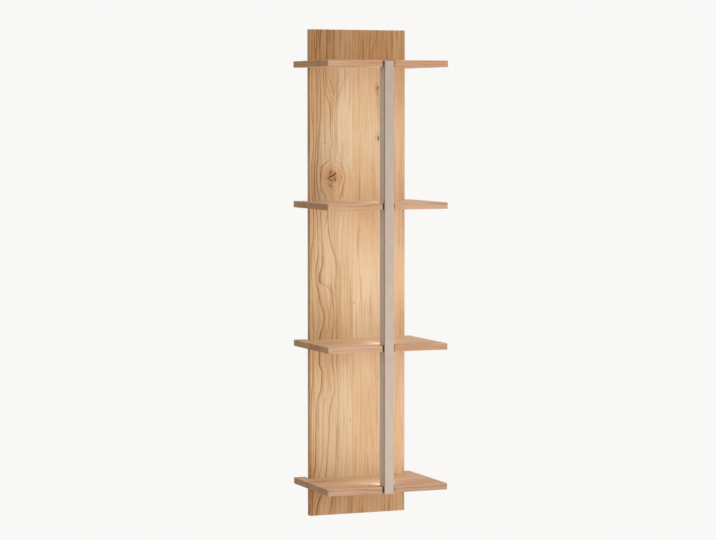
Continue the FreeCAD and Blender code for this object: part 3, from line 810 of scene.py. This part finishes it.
WHITE_CASE = (srgb(222, 222, 217), srgb(210, 209, 203))
for node in ("driver_case", "driver_lid", "feed_terminal"):
    dress(node, moulded("white_" + node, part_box(node), *WHITE_CASE, 0.42))
BLACK_CASE = (srgb(40, 40, 41), srgb(30, 30, 31))
for node in ("mains_inlet", "lead_gland"):
    dress(node, moulded("black_" + node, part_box(node), *BLACK_CASE, 0.45, wear=srgb(96, 96, 97)))
RUBBER = (srgb(36, 35, 34), srgb(26, 25, 25))
dress("lead_grommet", moulded("black_rubber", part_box("lead_grommet"), *RUBBER, 0.72, 1300.0,
                              srgb(70, 68, 66), 0.30))
JACKET = (srgb(226, 225, 220), srgb(214, 212, 206))
dress("feed_lead", moulded("lead_jacket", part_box("feed_lead"), *JACKET, 0.36, 900.0, srgb(240, 240, 236)))


def circuit(name, mask, trace, body):
    """Circuit board: lacquer over faint tracks, with paler or darker parts on it."""
    g = Graph(name)
    tracks = g.cell_walls(g.x, g.y, g.z, 240.0)
    lacquer = g.noise(g.x, g.y, g.z, 90.0, 3.0)
    colour = g.mix(lacquer, mask, body)
    colour = g.mix((1 - g.rise(tracks, 0.03, 0.10)) * 0.5, colour, trace)
    return g.finish(Base_Color=colour, Roughness=0.30 + lacquer * 0.18, Normal=g.bump(tracks, 0.00005, 0.3))


dress("driver_board", circuit("driver_board", srgb(38, 92, 62), srgb(78, 136, 98), srgb(30, 76, 52)))
LIGHT_BOARD = circuit("light_board", srgb(236, 234, 226), srgb(214, 204, 178), srgb(226, 223, 212))
for node in ("led_strip_top", "led_strip_middle", "led_strip_bottom", "led_jumper_upper", "led_jumper_lower"):
    dress(node, LIGHT_BOARD)


# Studio: a pale floor that melts into a pale surround, soft light from the front and from above

SURROUND = srgb(249, 248, 246)
FILL_COLOUR = (1.0, 0.975, 0.945, 1.0)
FILL_STRENGTH = 0.43
FLOOR_Z = -1.72
FLOOR_RADIUS = 9.0
FLOOR_CORNERS = 96
FLOOR_NEAR = 0.6
FLOOR_FAR = 1.9
FLOOR_LIFT = 0.62
FLOOR_PALE = srgb(240, 239, 237)
FLOOR_GREY = srgb(236, 235, 232)


def seen_directly(tree):
    """1 for rays from the camera, a mirror or glass."""
    path = tree.nodes.new("ShaderNodeLightPath")
    total = path.outputs["Is Camera Ray"]
    for name in ("Is Glossy Ray", "Is Transmission Ray"):
        node = tree.nodes.new("ShaderNodeMath")
        node.operation = "MAXIMUM"
        tree.links.new(total, node.inputs[0])
        tree.links.new(path.outputs[name], node.inputs[1])
        total = node.outputs[0]
    return total


def make_world():
    """Pale surround to look at, and a softer fill that lights the shelf."""
    world = bpy.data.worlds.new("surround")
    scene.world = world
    world.use_nodes = True
    tree = world.node_tree
    tree.nodes.clear()
    fill = tree.nodes.new("ShaderNodeBackground")
    fill.inputs["Color"].default_value = FILL_COLOUR
    fill.inputs["Strength"].default_value = FILL_STRENGTH
    pale = tree.nodes.new("ShaderNodeBackground")
    pale.inputs["Color"].default_value = SURROUND
    mix = tree.nodes.new("ShaderNodeMixShader")
    tree.links.new(seen_directly(tree), mix.inputs[0])
    tree.links.new(fill.outputs[0], mix.inputs[1])
    tree.links.new(pale.outputs[0], mix.inputs[2])
    out = tree.nodes.new("ShaderNodeOutputWorld")
    tree.links.new(mix.outputs[0], out.inputs[0])


def make_floor():
    """Round floor that takes shadows near the shelf and turns into the surround further out."""
    turns = [2 * math.pi * number / FLOOR_CORNERS for number in range(FLOOR_CORNERS)]
    ring = [(FLOOR_RADIUS * math.cos(turn), FLOOR_RADIUS * math.sin(turn), FLOOR_Z) for turn in turns]
    mesh = bpy.data.meshes.new("floor")
    mesh.from_pydata(ring, [], [list(range(FLOOR_CORNERS))])
    floor = bpy.data.objects.new("floor", mesh)
    scene.collection.objects.link(floor)
    g = Graph("floor")
    grain = g.noise(g.x, g.y, g.z, 60.0, 3.0)
    colour = g.mix(grain, FLOOR_PALE, FLOOR_GREY)
    g.finish(Base_Color=colour, Roughness=0.8, Specular_IOR_Level=0.1)
    reach = (g.x ** 2.0 + g.y ** 2.0) ** 0.5
    far = g.rise(reach, FLOOR_NEAR, FLOOR_FAR) * (1 - FLOOR_LIFT) + FLOOR_LIFT
    far = far * Value(g, seen_directly(g.tree))
    glow = g.tree.nodes.new("ShaderNodeEmission")
    glow.inputs["Color"].default_value = SURROUND
    mix = g.tree.nodes.new("ShaderNodeMixShader")
    g.put(mix.inputs[0], far)
    g.tree.links.new(g.shader.outputs[0], mix.inputs[1])
    g.tree.links.new(glow.outputs[0], mix.inputs[2])
    g.tree.links.new(mix.outputs[0], g.tree.nodes["Material Output"].inputs["Surface"])
    mesh.materials.append(g.material)


# Lamps: name, place, what they look at, size in metres, power in watts and colour
WARM_LAMP = (1.0, 0.98, 0.955)
SOFT_LAMP = (1.0, 0.985, 0.965)
LAMPS = (
    ("front", (-0.15, -1.60, -0.86), (0.0, -0.15, -0.86), 1.2, 6.5, WARM_LAMP),
    ("low", (0.20, -1.80, -1.58), (0.0, -0.15, -1.20), 0.8, 5.6, WARM_LAMP),
    ("left", (-2.6, -1.8, 1.3), (0.0, -0.15, -0.6), 2.0, 20.5, SOFT_LAMP),
    ("above", (0.9, -1.5, 2.4), (0.0, -0.15, -0.6), 1.6, 33.0, SOFT_LAMP),
)


def softbox(name, place, aim, size, power, colour):
    """Square area lamp that looks at a point."""
    lamp = bpy.data.lights.new(name, "AREA")
    lamp.shape = "SQUARE"
    lamp.size = size
    lamp.energy = power
    lamp.color = colour
    holder = bpy.data.objects.new(name, lamp)
    holder.location = place
    holder.rotation_mode = "QUATERNION"
    holder.rotation_quaternion = (Vector(aim) - Vector(place)).to_track_quat("-Z", "Y")
    holder.visible_camera = False
    scene.collection.objects.link(holder)


make_world()
make_floor()
for lamp_row in LAMPS:
    softbox(*lamp_row)

# Camera, fitted to the edges of the shelf in the photograph

CAMERA_PLACE = (-3.0570, -7.5597, -0.0359)
CAMERA_YAW = math.radians(-22.149)
CAMERA_PITCH = math.radians(3.5624)
PHOTO_WIDTH = 716
FOCAL_PIXELS = 2555.4
SENSOR = 36.0
CLIP_NEAR, CLIP_FAR = 0.05, 100.0

lens = bpy.data.cameras.new("camera")
lens.sensor_width = SENSOR
lens.lens = FOCAL_PIXELS * SENSOR / PHOTO_WIDTH
lens.clip_start = CLIP_NEAR
lens.clip_end = CLIP_FAR
camera = bpy.data.objects.new("camera", lens)
camera.location = CAMERA_PLACE
level = Vector((-math.sin(CAMERA_YAW), math.cos(CAMERA_YAW), 0.0))
aim = level * math.cos(CAMERA_PITCH) - Vector((0.0, 0.0, math.sin(CAMERA_PITCH)))
camera.rotation_mode = "QUATERNION"
camera.rotation_quaternion = aim.to_track_quat("-Z", "Y")
scene.collection.objects.link(camera)
scene.camera = camera
